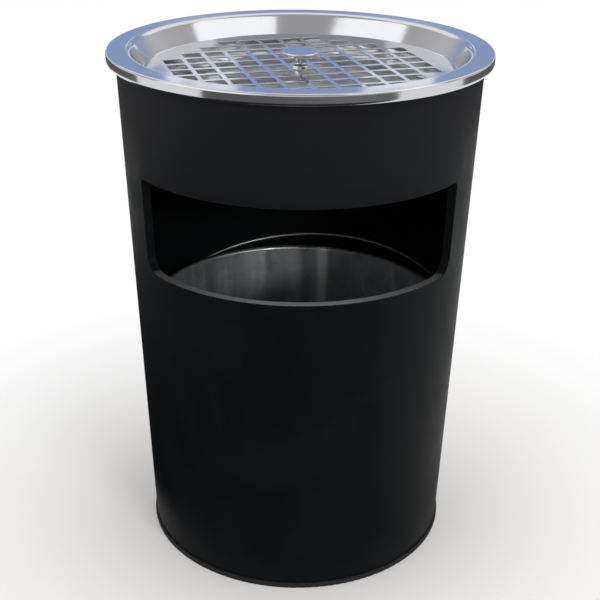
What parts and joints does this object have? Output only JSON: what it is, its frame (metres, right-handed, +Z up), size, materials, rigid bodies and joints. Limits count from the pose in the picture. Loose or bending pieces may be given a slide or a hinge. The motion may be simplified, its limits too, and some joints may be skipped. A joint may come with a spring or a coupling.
{
  "type": "trash can with ashtray",
  "caption": "Round tapered trash can with a wide litter window, a lift-out liner with a bail, and a lift-off ashtray dish with a square-holed grid and knob.",
  "frame": {"origin": "centre of the can's footprint, on the floor", "axes": "+Z up along the can's axis, litter window towards -Y, bail pivots 17 degrees clockwise of the X axis seen from above"},
  "size_m": [0.4, 0.4, 0.56],
  "materials": {
    "black_coat": "satin black powder coat on steel sheet",
    "floor_rubber": "matt black",
    "galvanised_sheet": "dull galvanised steel sheet",
    "plated_steel": "zinc plated steel",
    "bright_plate": "polished, mirror bright"
  },
  "bodies": {
    "shell": {"outer_shell": "black_coat", "floor_ring": "floor_rubber", "base_pan": "black_coat"},
    "liner": {"liner_wall": "galvanised_sheet", "liner_rim_wire": "galvanised_sheet", "liner_base": "galvanised_sheet", "bail_ear_right": "galvanised_sheet", "bail_ear_left": "galvanised_sheet", "ear_rivets": "plated_steel"},
    "bail": {"bail_wire": "plated_steel"},
    "ashtray": {"ashtray_dish": "bright_plate"},
    "grid": {"ashtray_grid": "bright_plate", "grid_knob": "bright_plate", "knob_washer": "plated_steel", "knob_screw": "plated_steel"}
  },
  "joints": [
    {"name": "liner_lift", "type": "slide", "parent": "shell", "child": "liner", "axis": [0, 0, 1], "range_m": [0, 0.56]},
    {"name": "bail_swing", "type": "hinge", "parent": "liner", "child": "bail", "pos_m": [0, 0, 0.246], "axis": [0.9563, -0.2924, 0], "range_deg": [0, 155.5]},
    {"name": "ashtray_lift", "type": "slide", "parent": "liner", "child": "ashtray", "axis": [0, 0, 1], "range_m": [0, 0.1]},
    {"name": "grid_lift", "type": "slide", "parent": "ashtray", "child": "grid", "axis": [0, 0, 1], "range_m": [0, 0.05]}
  ]
}
